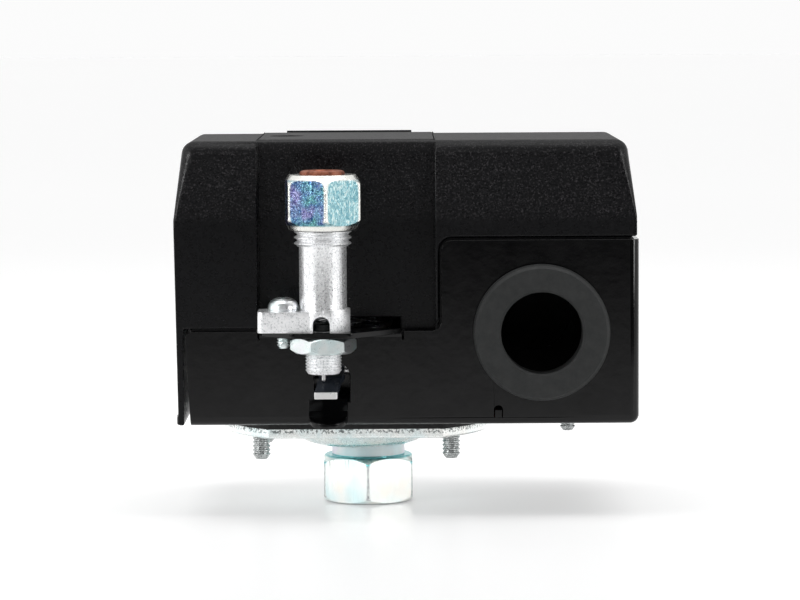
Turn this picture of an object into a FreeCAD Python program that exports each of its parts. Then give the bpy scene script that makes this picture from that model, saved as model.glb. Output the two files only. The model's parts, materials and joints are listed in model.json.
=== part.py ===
import FreeCAD, Part
import math
import os

# Diaphragm pressure switch for an air compressor, with unloader valve.
# Millimetres. The origin is the centre of the pressure port's mouth, +Z up,
# -Y towards the unloader valve (the front), +X towards the cable entries.
# Every sub-part has its own function and is written to parts/NAME.step.

os.makedirs("parts", exist_ok=True)
Vector = FreeCAD.Vector

# ---------------------------------------------------------------- driving dimensions

GAP = 0.05                    # running clearance between a pin and its hole, radial

# pressure port and flange
PORT_FLATS = 22.2             # hexagon across flats, 7/8 in
PORT_HEX_H = 11.8
PORT_BORE_R = 5.75            # 1/4 in pipe thread, minor radius
PORT_BORE_H = 12.0
NECK_R = 9.15
DOME_Z = 14.7                 # lowest point of the pressed dish
PLATE_Z = 18.6                # underside of the flange plate
PLATE_T = 2.3
PLATE_X = -2.8                # centre of the flange and of the diaphragm
PLATE_R = 33.3
PLATE_FLAT_Y = 25.5
DOME_X = -1.7
DOME_R = 17.2
FLANGE_SCREW_X = (-26.3, 20.7)
FLANGE_SCREW_Y = (-17.0, 17.0)

# base housing
SHEET = 1.2
BASE_Z = 22.5                 # underside
BASE_LEFT = -44.2
BASE_RIGHT = 66.4
BASE_Y = 31.0                 # half depth
BASE_LOW_TOP = 45.5           # wall top left of the step
BASE_HIGH_TOP = 67.6          # wall top right of the step
STEP_X = 18.3
STEP_R = 2.6
LANCE_X = 32.05
FLOOR_Z = BASE_Z + SHEET

# cover
WALL = 1.7
COVER_LEFT = -46.8
COVER_RIGHT = 65.9
COVER_Y = 30.4
COVER_TOP = 91.75
COVER_BEND_Z = 72.5           # the walls lean inwards above this height
COVER_LEAN = 2.3
COVER_TOP_R = 3.4
MID_LEFT = -26.4              # narrower middle section
MID_RIGHT = 16.8
MID_Y = 27.0
MID_TOP = 92.05
SEAM = 0.7                    # gap between the cover's lower edge and the base
COVER_SCREW_X = -20.0

# cable entries
ENTRY_X = 42.6
ENTRY_Z = 45.1
ENTRY_R = 9.95
GROMMET_R = 16.6
GROMMET_OUT = 4.0             # how far the grommet stands out of the wall

# unloader valve
VALVE_X = -10.3
VALVE_Y = -39.3
TAB_TOP = 46.4                # upper face of the bracket tab
TAB_T = 1.3
BOSS_R = 4.375
BOSS_Z = 36.1
BODY_R = 5.72
FOOT_TOP = 51.4
THREAD_R = 6.9
THREAD_Z = 66.9
NUT_Z = 70.9
NUT_H = 13.2
NUT_FLATS = 17.3
SLEEVE_R = 5.45
TUBE_R = 3.25                 # for 1/4 in tube
PIN_TIP_Z = 34.2
PIN_R = 0.5
FOOT_SCREW_X = -19.9
LIP_X = -9.35                 # centre of the lip below the lever slot

# levers: pivots as (y, z)
MAIN_PIVOT = (-10.0, 31.0)
UNLOADER_PIVOT = (-25.0, 35.6)
SWITCH_PIVOT = (36.2, 40.0)

# switch mechanism
FRAME_T = 1.5
FRAME_Z = 57.0                # underside of the frame's top plate
LEVER_Z = 28.6                # underside of the main lever
LEVER_T = 1.2
RANGE_X = PLATE_X
TRIM_Y = 17.0                 # differential spring, behind the range spring
BLOCK_X = 31.0                # centre of the contact block
POLES_Y = (2.0, 14.0)
CONTACT_X = 8.0               # half distance between a pole's two contacts
PLATE_TOP = 71.2              # top of the terminal plates
CONTACT_T = 0.8               # thickness of a contact tip
BAR_Z = PLATE_TOP + 2 * CONTACT_T + GAP    # underside of the moving contact bars


# ---------------------------------------------------------------- helpers

def box(x0, x1, y0, y1, z0, z1):
    return Part.makeBox(x1 - x0, y1 - y0, z1 - z0, Vector(x0, y0, z0))


def rod(radius, z0, z1, x=0.0, y=0.0):
    return Part.makeCylinder(radius, z1 - z0, Vector(x, y, z0))


def rod_x(radius, x0, x1, y, z):
    return Part.makeCylinder(radius, x1 - x0, Vector(x0, y, z), Vector(1, 0, 0))


def rod_y(radius, y0, y1, x, z):
    return Part.makeCylinder(radius, y1 - y0, Vector(x, y0, z), Vector(0, 1, 0))


def join(shapes):
    return shapes[0].multiFuse(shapes[1:]).removeSplitter()


def turned(points, x=0.0, y=0.0):
    """Solid of revolution about a vertical axis, from (radius, z) points."""
    corners = [Vector(radius, 0, z) for radius, z in points]
    face = Part.Face(Part.makePolygon(corners + corners[:1]))
    solid = face.revolve(Vector(0, 0, 0), Vector(0, 0, 1), 360)
    solid.translate(Vector(x, y, 0))
    return solid


def prism_y(points, y0, y1):
    """Outline of (x, z) points, from y0 to y1."""
    corners = [Vector(x, y0, z) for x, z in points]
    return Part.Face(Part.makePolygon(corners + corners[:1])).extrude(Vector(0, y1 - y0, 0))


def prism_x(points, x0, x1):
    """Outline of (y, z) points, from x0 to x1."""
    corners = [Vector(x0, y, z) for y, z in points]
    return Part.Face(Part.makePolygon(corners + corners[:1])).extrude(Vector(x1 - x0, 0, 0))


def prism_z(points, z0, z1):
    """Outline of (x, y) points, from z0 to z1."""
    corners = [Vector(x, y, z0) for x, y in points]
    return Part.Face(Part.makePolygon(corners + corners[:1])).extrude(Vector(0, 0, z1 - z0))


def edges_along(solid, axis, test):
    """Straight edges parallel to an axis (0, 1 or 2) whose middle passes a test."""
    found = []
    for edge in solid.Edges:
        if edge.Degenerated or not isinstance(edge.Curve, Part.Line):
            continue
        run = edge.valueAt(edge.LastParameter) - edge.valueAt(edge.FirstParameter)
        if abs(abs(run[axis]) - run.Length) > 1e-6:
            continue
        if test(edge.CenterOfMass):
            found.append(edge)
    return found


def hexagon(flats, z0, z1, x=0.0, y=0.0, turn=0.0, low=True, high=True, crown=None):
    """Hexagonal prism with a turned chamfer at either end.

    A crown (end radius, low height, high height) brings the chamfers round over the flats.
    """
    corner = flats / math.sqrt(3)
    points = []
    for side in range(6):
        angle = math.radians(turn + 60 * side)
        points.append((corner * math.cos(angle), corner * math.sin(angle)))
    prism = prism_z(points, z0, z1)
    end = 0.48 * flats
    drop = (corner - end) * 0.73
    outline = [(0, z0)]
    if crown:
        end, rise, fall = crown
        flat = flats / 2
        outline += [(end, z0), (flat, z0 + rise), (corner, z0 + rise + drop)]
        outline += [(corner, z1 - fall - drop), (flat, z1 - fall), (end, z1)]
    else:
        outline += [(end, z0), (corner, z0 + drop)] if low else [(corner, z0)]
        outline += [(corner, z1 - drop), (end, z1)] if high else [(corner, z1)]
    outline += [(0, z1)]
    solid = prism.common(turned(outline))
    solid.translate(Vector(x, y, 0))
    return solid


def threaded(radius, z0, z1, pitch, depth, x=0.0, y=0.0, bevel=0.0):
    """Rod with V-shaped ridges for a thread, bevelled at its lower end."""
    turns = int((z1 - z0 - bevel) / pitch)
    points = [(0, z0), (radius - bevel - depth / 2, z0), (radius - depth, z0 + bevel)]
    for ridge in range(turns):
        low = z0 + bevel + ridge * pitch
        points.append((radius - depth, low + 0.1 * pitch))
        points.append((radius, low + 0.45 * pitch))
        points.append((radius, low + 0.6 * pitch))
        points.append((radius - depth, low + 0.95 * pitch))
    points += [(radius - depth, z1), (0, z1)]
    return turned(points, x, y)


def pan_screw(head_r, head_h, shank_r, head_z, tip_z, x, y, pitch=0.8):
    """Pan-head screw with a cross recess, head on top."""
    outline = [(0, head_z), (head_r * 0.97, head_z)]
    for degrees in (0, 15, 30, 45, 60, 75):
        angle = math.radians(degrees)
        outline.append((head_r * math.cos(angle) ** 0.75, head_z + head_h * (0.2 + 0.8 * math.sin(angle))))
    outline.append((0, outline[-1][1]))
    head = turned(outline, x, y)
    arm = head_r * 0.5
    slot = head_r * 0.11
    deep = head_z + head_h * 0.45
    top = head_z + head_h + 1
    cross = box(x - arm, x + arm, y - slot, y + slot, deep, top)
    cross = cross.fuse(box(x - slot, x + slot, y - arm, y + arm, deep, top))
    shank = threaded(shank_r, tip_z, head_z, pitch, shank_r * 0.16, x, y, bevel=shank_r * 0.3)
    return join([head.cut(cross), shank])


def coil(x, y, z0, z1, mean_r, wire_r, turns):
    """Compression spring with flat ground ends."""
    rise = z1 - z0
    helix = Part.makeHelix(rise / turns, rise, mean_r)
    start = Part.Circle(Vector(mean_r, 0, 0), Vector(0, 1, 0), wire_r)
    section = Part.Wire([start.toShape()])
    wire = Part.Wire(helix.Edges).makePipeShell([section], True, True)
    wire.translate(Vector(x, y, z0))
    outer = mean_r + wire_r + 1
    return wire.common(rod(outer, z0, z1, x, y))


def lone(shape):
    """The single solid of a shape."""
    solids = shape.Solids
    if len(solids) != 1:
        raise ValueError("expected one solid, found %d" % len(solids))
    return solids[0]


def save(name, shapes):
    """Write one solid, or a group of separate solids, as one sub-part."""
    if isinstance(shapes, list):
        shape = Part.makeCompound([lone(item) for item in shapes])
    else:
        shape = lone(shapes)
    if not shape.isValid():
        raise ValueError(name + " is not a valid shape")
    shape.exportStep("parts/" + name + ".step")


# ---------------------------------------------------------------- port and flange

def port_fitting():
    hexagonal = hexagon(PORT_FLATS, 0, PORT_HEX_H, turn=30)
    neck = rod(NECK_R, PORT_HEX_H - 1, DOME_Z)
    spigot = rod(7.0, DOME_Z - 1, DOME_Z + 2.6)
    body = join([hexagonal, neck, spigot])
    bore = rod(PORT_BORE_R, -1, PORT_BORE_H)
    passage = rod(3.5, PORT_BORE_H - 1, DOME_Z + 4)
    return body.cut(bore).cut(passage)


def flange_outline(z0, z1):
    disc = rod(PLATE_R, z0, z1, PLATE_X)
    flats = box(-60, 60, -PLATE_FLAT_Y, PLATE_FLAT_Y, z0 - 1, z1 + 1)
    return disc.common(flats)


def flange_holes(radius, z0, z1):
    holes = []
    for x in FLANGE_SCREW_X:
        for y in FLANGE_SCREW_Y:
            holes.append(rod(radius, z0, z1, x, y))
    return holes


def flange_plate():
    top = PLATE_Z + PLATE_T
    plate = flange_outline(PLATE_Z, top)
    plate = plate.makeFillet(0.5, [e for e in plate.Edges if e.CenterOfMass.z < PLATE_Z + 0.01])
    flat_r = DOME_R - 5.4
    dish = turned([(0, DOME_Z), (flat_r, DOME_Z), (DOME_R - 2.6, DOME_Z + 0.9),
                   (DOME_R - 0.6, DOME_Z + 2.5), (DOME_R + 0.4, PLATE_Z), (DOME_R + 0.4, top), (0, top)],
                  DOME_X)
    thick = 1.6
    hollow = turned([(0, DOME_Z + thick), (flat_r - 0.4, DOME_Z + thick),
                     (DOME_R - 3.4, DOME_Z + 0.9 + thick), (DOME_R - 2.0, top + 1), (0, top + 1)], DOME_X)
    plate = join([plate, dish]).cut(hollow)
    plate = plate.cut(rod(7.0, DOME_Z - 1, DOME_Z + 4))
    for hole in flange_holes(2.2, PLATE_Z - 1, top + 1):
        plate = plate.cut(hole)
    return plate


def diaphragm():
    low = PLATE_Z + PLATE_T
    disc = flange_outline(low, BASE_Z)
    groove = rod(16.2, BASE_Z - 0.9, BASE_Z + 1, PLATE_X).cut(rod(13.6, BASE_Z - 2, BASE_Z + 2, PLATE_X))
    disc = disc.cut(groove)
    for hole in flange_holes(2.3, low - 1, BASE_Z + 1):
        disc = disc.cut(hole)
    return disc


def flange_screws():
    screws = []
    for x in FLANGE_SCREW_X:
        for y in FLANGE_SCREW_Y:
            screws.append(pan_screw(4.0, 2.6, 2.2, FLOOR_Z, 12.7, x, y, pitch=1.0))
    return screws


def ground_screws():
    screws = []
    for y in (-10.0, 10.0):
        screws.append(pan_screw(4.0, 2.4, 1.9, FLOOR_Z, 18.6, 49.9, y, pitch=0.8))
    return screws


# ---------------------------------------------------------------- base housing

def above_step(offset, y0, y1, top=110.0):
    """Space above the stepped edge that base and cover share, moved out by an offset."""
    x = STEP_X - offset
    points = [(-70, BASE_LOW_TOP + offset), (x, BASE_LOW_TOP + offset), (x, BASE_HIGH_TOP + offset),
              (90, BASE_HIGH_TOP + offset), (90, top), (-70, top)]
    space = prism_y(points, y0, y1)
    low = edges_along(space, 1, lambda c: abs(c.x - x) < 0.01 and c.z < BASE_LOW_TOP + offset + 0.1)
    space = space.makeFillet(max(STEP_R - offset, 0.5), low)
    high = edges_along(space, 1, lambda c: abs(c.x - x) < 0.01 and abs(c.z - BASE_HIGH_TOP - offset) < 0.1)
    return space.makeFillet(max(STEP_R + offset, 0.5), high)


def bracket_tab():
    """Tab bent out of the front wall, which carries the unloader valve."""
    outline = [(-26.0, -33.0), (-25.4, -38.5), (-18.0, -46.2), (-3.6, -46.2), (8.6, -33.4), (8.6, -29.0),
               (-26.0, -29.0)]
    plate = prism_z(outline, TAB_TOP - TAB_T, TAB_TOP)
    corners = edges_along(plate, 2, lambda c: c.y < -33.1)
    plate = plate.makeFillet(2.2, corners)
    wall = box(-26.0, 8.6, -BASE_Y, -BASE_Y + SHEET, 40.0, TAB_TOP)
    blank = join([plate.cut(box(-30, 12, -BASE_Y + SHEET, -20, 40, 50)), wall])
    outer = edges_along(blank, 0, lambda c: c.y > -BASE_Y + SHEET - 0.1 and c.z > TAB_TOP - 0.1)
    blank = blank.makeFillet(2.2, outer)
    inner = edges_along(blank, 0, lambda c: abs(c.y + BASE_Y) < 0.1 and abs(c.z - TAB_TOP + TAB_T) < 0.1)
    return blank.makeFillet(1.0, inner)


def lever_lip():
    """Rounded tongue pressed outwards below the lever slot, like a spout."""
    half = 4.75
    tip = -38.9
    upper = [(-30.0, 29.0), (-31.0, 28.8), (-32.2, 27.6), (-33.4, 26.3), (-35.0, 25.0), (-37.0, 24.1), (tip, 23.6)]
    lower = [(tip, 22.4), (-37.2, 22.8), (-35.4, 23.5), (-33.6, 24.4), (-31.6, 25.6), (-30.0, 26.2)]
    band = prism_x(upper + lower, LIP_X - half, LIP_X + half)
    plan = rod(half, 20, 32, LIP_X, tip + half).fuse(box(LIP_X - half, LIP_X + half, tip + half, -29.0, 20, 32))
    return band.common(plan)


def base_housing():
    r_out = 2.2
    tray = box(BASE_LEFT - 6, BASE_RIGHT, -BASE_Y, BASE_Y, BASE_Z, 90)
    hollow = box(BASE_LEFT - 8, BASE_RIGHT - SHEET, -BASE_Y + SHEET, BASE_Y - SHEET, FLOOR_Z, 92)
    tray = tray.makeFillet(r_out, edges_along(tray, 2, lambda c: c.x > 0)
                           + edges_along(tray, 0, lambda c: c.z < BASE_Z + 1)
                           + edges_along(tray, 1, lambda c: c.z < BASE_Z + 1 and c.x > 0))
    hollow = hollow.makeFillet(r_out - SHEET, edges_along(hollow, 2, lambda c: c.x > 0)
                               + edges_along(hollow, 0, lambda c: c.z < FLOOR_Z + 1)
                               + edges_along(hollow, 1, lambda c: c.z < FLOOR_Z + 1 and c.x > 0))
    tray = tray.cut(hollow)
    tray = tray.cut(prism_y([(-60, 20), (BASE_LEFT + 1.2, 20), (BASE_LEFT + 1.2, BASE_Z),
                             (BASE_LEFT, 44), (BASE_LEFT, 95), (-60, 95)], -40, 40))
    tray = tray.cut(above_step(0.0, -40, 40))
    corners = edges_along(tray, 1, lambda c: c.x < BASE_LEFT + 1 and c.z > 45)
    tray = tray.makeFillet(1.8, corners)
    # bracket tab, with relief cuts at both ends of its root
    for x in (-26.5, 8.6):
        tray = tray.cut(box(x, x + 0.5, -40, -20, 43.4, 50))
    tray = join([tray.cut(box(-26.0, 8.6, -40, -20, 41.0, 50)), bracket_tab()])
    tray = tray.cut(rod(BOSS_R + 0.15, 40, 50, VALVE_X, VALVE_Y))
    tray = tray.cut(rod(1.9, 40, 50, FOOT_SCREW_X, VALVE_Y))
    # lever slot with its lip
    slot = join([box(-12.9, -4.0, -40, -20, 28.2, 34.2), rod_y(4.45, -40, -20, -8.45, 34.05)])
    tray = join([tray.cut(slot), lever_lip()])
    # window for the nose of the auto/off lever
    tray = tray.cut(box(-8.6, 0.4, 20, 40, 28.5, 39.2))
    # cable entries, plunger opening and screw holes
    tray = tray.cut(rod_y(14.0, -40, 40, ENTRY_X, ENTRY_Z))
    tray = tray.cut(rod(17.0, 20, 30, PLATE_X))
    for hole in flange_holes(2.2, 20, 30):
        tray = tray.cut(hole)
    for y in (-10.0, 10.0):
        tray = tray.cut(rod(1.9, 20, 30, 49.9, y))
    for x, y in frame_rivet_places():
        tray = tray.cut(rod(1.6, 20, 30, x, y))
    # small lanced tongue low on the front wall
    tray = tray.cut(rod_y(1.1, -40, -29, LANCE_X, 26.1).common(box(30, 34, -40, -29, 26.1, 28)))
    for side in (-1, 1):
        x = LANCE_X + side * 0.97
        tray = tray.cut(box(x - 0.13, x + 0.13, -40, -29, 24.3, 26.2))
    return tray


# ---------------------------------------------------------------- cover

def cover_block(inset, top):
    """Outer form of the cover, or with an inset the space inside it."""
    front = [(COVER_LEFT + 1.0 + inset, 10), (COVER_LEFT + inset, COVER_BEND_Z),
             (COVER_LEFT + inset + COVER_LEAN, top), (COVER_RIGHT - inset - COVER_LEAN, top),
             (COVER_RIGHT - inset, COVER_BEND_Z + 1.0), (COVER_RIGHT - inset, 10)]
    side_y = COVER_Y - inset
    side = [(-side_y, 10), (-side_y, COVER_BEND_Z), (-side_y + COVER_LEAN, top),
            (side_y - COVER_LEAN, top), (side_y, COVER_BEND_Z), (side_y, 10)]
    return prism_y(front, -40, 40).common(prism_x(side, -60, 80))


def leaning_corners(solid, top):
    """The four corner edges of the leaning part of the cover."""
    found = []
    for edge in solid.Edges:
        low = min(vertex.Point.z for vertex in edge.Vertexes)
        high = max(vertex.Point.z for vertex in edge.Vertexes)
        middle = edge.CenterOfMass
        if high > top - 0.1 and low < COVER_BEND_Z + 2 and abs(middle.y) > 20:
            found.append(edge)
    return found


def cover():
    outer = cover_block(0, COVER_TOP)
    for edge in leaning_corners(outer, COVER_TOP):
        first = edge.valueAt(edge.FirstParameter).z
        last = edge.valueAt(edge.LastParameter).z
        radii = (0.6, COVER_TOP_R) if first < last else (COVER_TOP_R, 0.6)
        match = [e for e in outer.Edges if (e.CenterOfMass - edge.CenterOfMass).Length < 0.3]
        outer = outer.makeFillet(radii[0], radii[1], match[:1])
    rim = [e for e in outer.Edges if e.CenterOfMass.z > COVER_TOP - 0.01]
    outer = outer.makeFillet(COVER_TOP_R - 0.1, rim)
    for side in (-1, 1):
        y0, y1 = sorted((side * MID_Y, side * 45))
        outer = outer.cut(box(MID_LEFT, MID_RIGHT, y0, y1, 0, 100))
    middle = box(MID_LEFT, MID_RIGHT, -MID_Y, MID_Y, 40, MID_TOP)
    middle = middle.makeFillet(2.8, edges_along(middle, 0, lambda c: c.z > MID_TOP - 0.1))
    outer = join([outer, middle])

    space = cover_block(WALL, COVER_TOP - WALL)
    for side in (-1, 1):
        y0, y1 = sorted((side * (MID_Y - WALL), side * 45))
        space = space.cut(box(MID_LEFT - WALL, MID_RIGHT + WALL, y0, y1, 0, 100))
    shell = outer.cut(space)

    # lower edge: follows the base's stepped edge, with a thin skirt inside the base
    visible = shell.common(above_step(SEAM, -40, 40))
    skirt_y = BASE_Y - SHEET - 0.3
    skirt_space = box(BASE_LEFT + 1.5, BASE_RIGHT - SHEET - 0.6, -skirt_y, skirt_y, 0, 100)
    skirt = shell.common(skirt_space).common(above_step(-3.3, -40, 40))
    end_wall = shell.common(box(-60, BASE_LEFT - 0.4, -40, 40, BASE_Z + 0.1, 100))
    foot = box(COVER_LEFT + 0.4, BASE_LEFT - 0.4, -COVER_Y + 1, COVER_Y - 1, BASE_Z + 0.1, BASE_Z + 2.3)
    body = join([visible, skirt, end_wall, foot])
    # window over the bracket tab
    body = body.cut(box(-26.0, 8.3, -40, -20, 30, 48.5))

    # screw boss in the top
    boss = rod(5.6, 87.2, MID_TOP - 0.6, COVER_SCREW_X)
    body = join([body, boss])
    body = body.cut(rod(4.2, 89.2, 100, COVER_SCREW_X))
    return body.cut(rod(2.2, 80, 100, COVER_SCREW_X))


def cover_screw():
    return pan_screw(3.7, 2.2, 1.95, 89.2, 78.0, COVER_SCREW_X, 0, pitch=0.8)


def cover_post():
    z0 = FRAME_Z + FRAME_T
    post = hexagon(8.0, z0, 87.0, COVER_SCREW_X, 0, turn=30, low=False)
    return post.cut(rod(2.05, 76.0, 90.0, COVER_SCREW_X))


# ---------------------------------------------------------------- grommets

def grommet(side):
    """Cable grommet; side is -1 at the front and +1 at the back."""
    wall_in = BASE_Y - SHEET
    face = BASE_Y + GROMMET_OUT
    outline = [(ENTRY_R, wall_in - 2.8), (15.6, wall_in - 2.8), (15.9, wall_in - 2.2), (15.9, wall_in),
               (13.95, wall_in), (13.95, BASE_Y), (GROMMET_R, BASE_Y), (GROMMET_R, face - 1.4),
               (GROMMET_R - 0.25, face - 0.6), (GROMMET_R - 0.9, face), (ENTRY_R + 0.5, face),
               (ENTRY_R, face - 0.5)]
    ring = turned(outline)
    if side > 0:
        # the unused entry is closed by a thin membrane
        ring = join([ring, rod(ENTRY_R + 1, BASE_Y, BASE_Y + 1.2)])
    ring.rotate(Vector(0, 0, 0), Vector(1, 0, 0), -90 * side)
    ring.translate(Vector(ENTRY_X, 0, ENTRY_Z))
    return ring


# ---------------------------------------------------------------- unloader valve

def unloader_body():
    ear = prism_z([(-26.0, -45.0), (VALVE_X, -45.0), (VALVE_X, -34.2), (-26.0, -34.2)], TAB_TOP, FOOT_TOP)
    ear = ear.makeFillet(1.4, edges_along(ear, 2, lambda c: c.x < -25))
    collar = rod(6.5, TAB_TOP, FOOT_TOP + 0.5, VALVE_X, VALVE_Y)
    collar = collar.cut(box(-30, VALVE_X, -50, -30, FOOT_TOP, 60))
    barrel = rod(BODY_R, FOOT_TOP - 1, THREAD_Z, VALVE_X, VALVE_Y)
    thread = threaded(THREAD_R, THREAD_Z, NUT_Z + 8.6, 1.4, 0.75, VALVE_X, VALVE_Y)
    boss = threaded(BOSS_R, BOSS_Z, TAB_TOP - TAB_T - 0.2, 0.75, 0.3, VALVE_X, VALVE_Y, bevel=0.5)
    root = rod(BOSS_R, TAB_TOP - TAB_T - 0.3, TAB_TOP + 0.1, VALVE_X, VALVE_Y)
    body = join([ear, collar, barrel, thread, boss, root])
    for cutter in (rod(PIN_R + 0.1, 30, 50, VALVE_X, VALVE_Y),
                   rod(2.6, 45.0, 60.0, VALVE_X, VALVE_Y),
                   rod(1.6, 59.0, 70.0, VALVE_X, VALVE_Y),
                   rod(TUBE_R, 69.0, 90.0, VALVE_X, VALVE_Y),
                   rod(1.8, 40, 60, FOOT_SCREW_X, VALVE_Y)):
        body = body.cut(cutter)
    # vent arch through the front of the foot
    arch = rod_y(2.05, -50, VALVE_Y, VALVE_X - 0.35, 48.3)
    arch = arch.fuse(box(VALVE_X - 2.4, VALVE_X + 1.7, -50, VALVE_Y, TAB_TOP - 0.01, 48.3))
    return body.cut(arch)


def compression_nut():
    top = NUT_Z + NUT_H
    nut = hexagon(NUT_FLATS, NUT_Z, top, VALVE_X, VALVE_Y, turn=-84, crown=(8.1, 1.2, 0.8))
    bore = rod(THREAD_R + GAP, NUT_Z - 1, NUT_Z + 9.0, VALVE_X, VALVE_Y)
    mouth = rod(SLEEVE_R + GAP, NUT_Z + 8.0, top + 1, VALVE_X, VALVE_Y)
    return nut.cut(bore).cut(mouth)


def compression_sleeve():
    z0 = NUT_Z + 8.7
    top = NUT_Z + NUT_H + 1.0
    ring = turned([(TUBE_R, z0), (SLEEVE_R, z0), (SLEEVE_R, top - 0.7), (SLEEVE_R - 0.2, top - 0.25),
                   (SLEEVE_R - 0.7, top), (TUBE_R + 0.3, top), (TUBE_R, top - 0.3)], VALVE_X, VALVE_Y)
    return ring


def unloader_locknut():
    top = TAB_TOP - TAB_T
    nut = hexagon(14.0, top - 4.0, top, VALVE_X, VALVE_Y, turn=9)
    return nut.cut(rod(BOSS_R + 0.02, 30, 60, VALVE_X, VALVE_Y))


def unloader_foot_screw():
    return pan_screw(3.75, 3.2, 1.7, FOOT_TOP, 42.3, FOOT_SCREW_X, VALVE_Y, pitch=0.7)


def valve_pin():
    stem = turned([(0, PIN_TIP_Z), (PIN_R - 0.2, PIN_TIP_Z), (PIN_R, PIN_TIP_Z + 0.3), (PIN_R, 45.4),
                   (1.9, 45.4), (1.9, 46.4), (0, 46.4)], VALVE_X, VALVE_Y)
    return stem


def valve_seal():
    return turned([(0, 46.4), (2.2, 46.4), (2.3, 46.8), (2.2, 47.9), (0, 47.9)], VALVE_X, VALVE_Y)


def valve_spring():
    return coil(VALVE_X, VALVE_Y, 48.0, 58.9, 1.75, 0.3, 6)


def unloader_lever():
    """Flat lever between the main lever and the valve pin, seen in the slot."""
    y, z = UNLOADER_PIVOT
    thick = 1.6
    top = [(-17.0, 36.6), (-23.0, 36.6), (-28.0, 35.4), (-37.0, 35.0), (-44.0, 31.9)]
    low = [(py, pz - thick) for py, pz in reversed(top)]
    blade = prism_x(top + low, -16, -2)
    turn = math.radians(8.5)
    near_x = -8.2
    far_x = near_x - math.tan(turn) * 11.0
    half = 2.78
    plan = prism_z([(near_x - half, -15), (near_x + half, -15), (near_x + half, -33), (far_x + half, -44.6),
                    (far_x - half, -44.6), (near_x - half, -33)], 20, 50)
    blade = blade.common(plan)
    hub = rod_x(2.4, near_x - half, near_x + half, y, z)
    lever = join([blade, hub])
    return lever.cut(rod_x(1.2 + GAP, -20, 0, y, z))


def unloader_lever_pin():
    y, z = UNLOADER_PIVOT
    return rod_x(1.2, -15.6, -0.8, y, z)


def unloader_lever_bracket():
    """Two ears on the inside of the front wall."""
    y, z = UNLOADER_PIVOT
    wall_y = -BASE_Y + SHEET
    plate = box(-15.6, -0.8, wall_y, wall_y + 1.0, 39.0, 41.5)
    ears = []
    for x in (-15.6, -1.8):
        ear = prism_x([(wall_y, 32.6), (y + 2.4, 32.6), (y + 2.4, 38.0), (wall_y + 2.0, 41.5), (wall_y, 41.5)],
                      x, x + 1.0)
        ears.append(ear)
    bracket = join([plate] + ears)
    return bracket.cut(rod_x(1.2, -20, 0, y, z))


# ---------------------------------------------------------------- pressure mechanism

def plunger():
    rest = BASE_Z + 0.05
    return turned([(0, rest), (13.0, rest), (13.0, rest + 1.6), (6.0, rest + 2.4), (5.0, LEVER_Z - 1.0),
                   (0.4, LEVER_Z - 0.08), (0, LEVER_Z - 0.08)], PLATE_X)


def main_lever():
    y, z = MAIN_PIVOT
    left = PLATE_X - 15.9
    right = PLATE_X + 15.9
    floor = box(left, right, -14.5, 22.5, LEVER_Z, LEVER_Z + LEVER_T)
    sides = []
    for x in (left, right - LEVER_T):
        side = prism_x([(-14.5, LEVER_Z), (22.5, LEVER_Z), (22.5, LEVER_Z + 2.0), (-4.0, z + 2.6),
                        (-14.5, z + 2.6)], x, x + LEVER_T)
        sides.append(side)
    # front hook, which presses the unloader lever's tail down
    hook_top = 38.4
    hook = box(-12.0, -4.4, -14.5, -14.5 + LEVER_T, LEVER_Z, hook_top)
    lip = box(-12.0, -4.4, -20.0, -14.5 + LEVER_T, hook_top - LEVER_T, hook_top)
    # arm to the right, which lifts the contact carrier
    arm = box(right - 2, BLOCK_X + 3.5, 9.5, 18.5, LEVER_Z, LEVER_Z + LEVER_T)
    lever = join([floor] + sides + [hook, lip, arm])
    return lever.cut(rod_x(1.5 + GAP, left - 5, right + 5, y, z))


def lever_pivot_pin():
    y, z = MAIN_PIVOT
    return rod_x(1.5, PLATE_X - 18.6, PLATE_X + 18.6, y, z)


def pivot_ears():
    y, z = MAIN_PIVOT
    ears = []
    for side in (-1, 1):
        x_in = PLATE_X + side * 16.6
        x_out = PLATE_X + side * 17.8
        x0, x1 = sorted((x_in, x_out))
        ear = box(x0, x1, y - 3.2, y + 3.2, FLOOR_Z, z + 3.0)
        ears.append(ear.cut(rod_x(1.5, x0 - 5, x1 + 5, y, z)))
    return ears


def frame_rivet_places():
    return [(x, y) for x in (-39.6, 56.8) for y in (-8.0, 8.0)]


def switch_frame():
    """Bridge of bent strip over the mechanism, standing on the base."""
    top = FRAME_Z + FRAME_T
    left, right = -36.5, 61.7
    plate = box(left, right, -13.0, 21.0, FRAME_Z, top)
    legs = [box(left, left + FRAME_T, -12.0, 12.0, FLOOR_Z, top),
            box(right - FRAME_T, right, -12.0, 12.0, FLOOR_Z, top)]
    feet = [box(-42.2, left + FRAME_T, -12.0, 12.0, FLOOR_Z, FLOOR_Z + FRAME_T),
            box(54.2, right, -12.0, 12.0, FLOOR_Z, FLOOR_Z + FRAME_T)]
    frame = join([plate] + legs + feet)
    frame = frame.cut(rod(4.1, 50, 60, RANGE_X, 0))
    frame = frame.cut(rod(2.6, 50, 60, RANGE_X, TRIM_Y))
    frame = frame.cut(box(BLOCK_X - 2.6, BLOCK_X + 2.6, 11.4, 16.6, 50, 60))
    for x in (19.0, 43.0):
        frame = frame.cut(rod(1.5, 50, 60, x, -9.0))
    for x, y in frame_rivet_places():
        frame = frame.cut(rod(1.6, 20, 30, x, y))
    return frame


def frame_rivets():
    top = FLOOR_Z + FRAME_T
    rivets = []
    for x, y in frame_rivet_places():
        rivets.append(turned([(0, BASE_Z), (1.6, BASE_Z), (1.6, top), (3.0, top), (2.6, top + 0.8),
                              (1.6, top + 1.2), (0, top + 1.2)], x, y))
    return rivets


def range_spring():
    return coil(RANGE_X, 0, LEVER_Z + LEVER_T + 0.05, 52.6, 7.9, 1.2, 4.5)


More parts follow.
